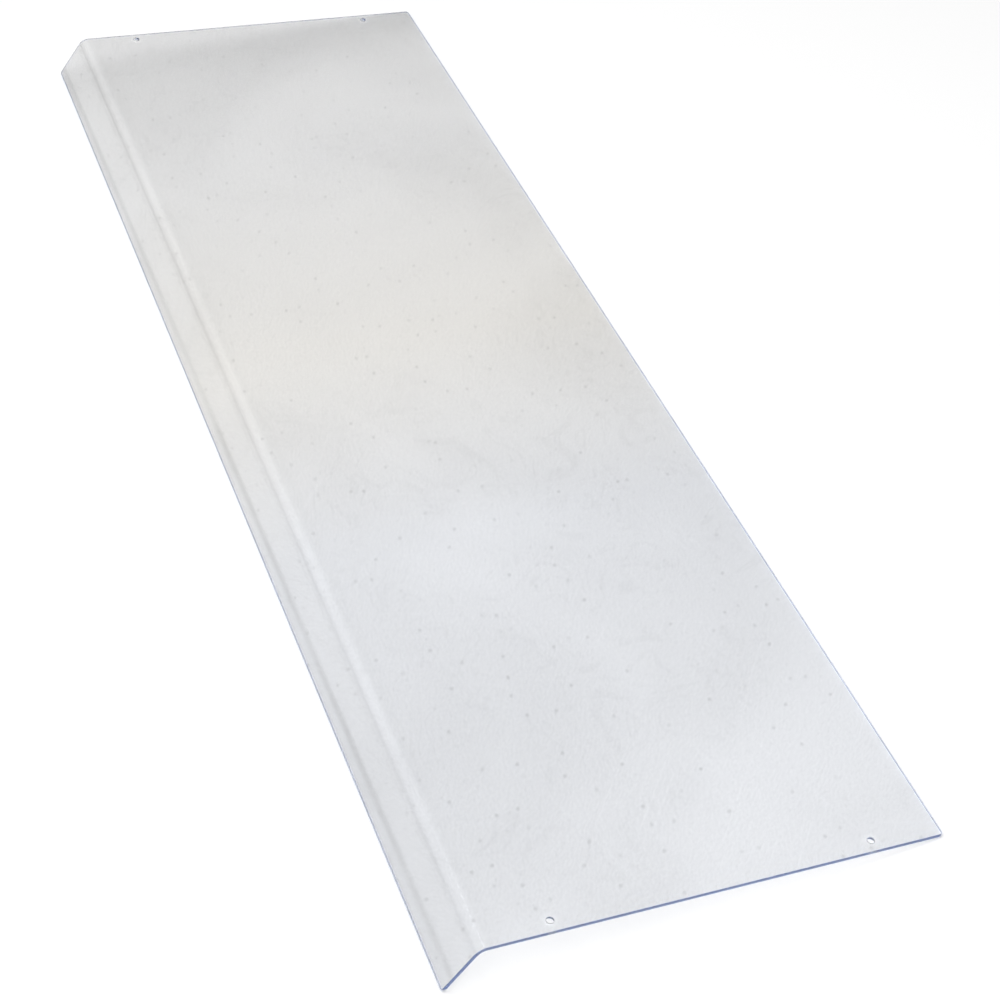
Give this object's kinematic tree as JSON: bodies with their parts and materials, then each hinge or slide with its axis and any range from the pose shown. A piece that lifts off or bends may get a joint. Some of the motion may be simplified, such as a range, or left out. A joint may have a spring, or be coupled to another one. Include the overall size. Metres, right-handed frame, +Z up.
{
  "type": "sneeze guard",
  "caption": "Long clear plastic sheet with a lip bent down along its front edge and plain screw holes beside both short ends.",
  "frame": {"origin": "bottom centre of the part's box, on the surface that the panel rests on", "axes": "+X along the length, +Z up, -Y towards the bent lip; the flat part slopes down towards +Y because the panel rests on its lip and its back edge"},
  "size_m": [1.2192, 0.3958, 0.0373],
  "materials": {
    "clear_polycarbonate": "clear extruded polycarbonate, glossy faces, sawn and scraped edges with a blue cast"
  },
  "bodies": {
    "root": {"guard_panel": "clear_polycarbonate"}
  },
  "joints": []
}
